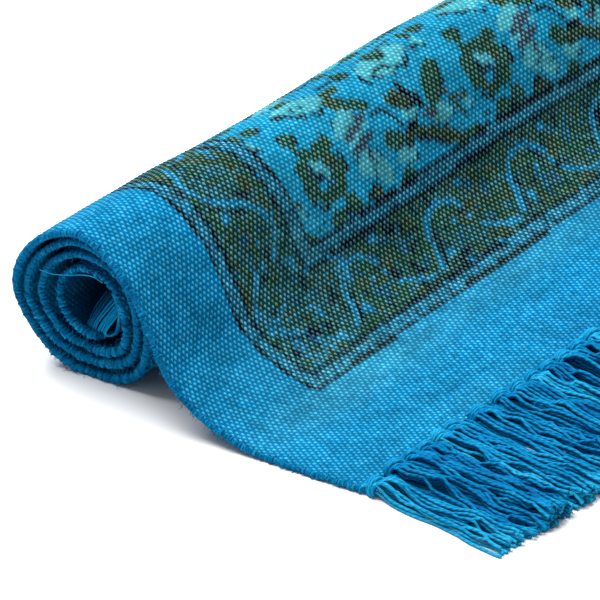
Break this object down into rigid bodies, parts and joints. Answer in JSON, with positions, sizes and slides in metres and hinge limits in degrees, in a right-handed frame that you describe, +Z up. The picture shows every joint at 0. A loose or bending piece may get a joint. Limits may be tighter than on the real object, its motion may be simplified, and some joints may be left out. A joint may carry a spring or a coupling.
{
  "type": "kilim rug",
  "caption": "Flat-woven cotton rug lying partly unrolled: a loose roll whose free end runs down to the floor, with knotted fringe at both ends.",
  "frame": {"origin": "on the floor, under the middle of the whole rug's footprint", "axes": "+X along the roll, across the rug; +Y along the rug, from the fringe on the floor towards the roll; +Z up"},
  "size_m": [0.8528, 0.4142, 0.1155],
  "materials": {
    "kilim_cloth": "matt, coarse flat weave",
    "fringe_yarn": "matt, soft plied yarn"
  },
  "bodies": {
    "root": {"rug": "kilim_cloth", "fringe_front": "fringe_yarn", "fringe_inner": "fringe_yarn"}
  },
  "joints": []
}
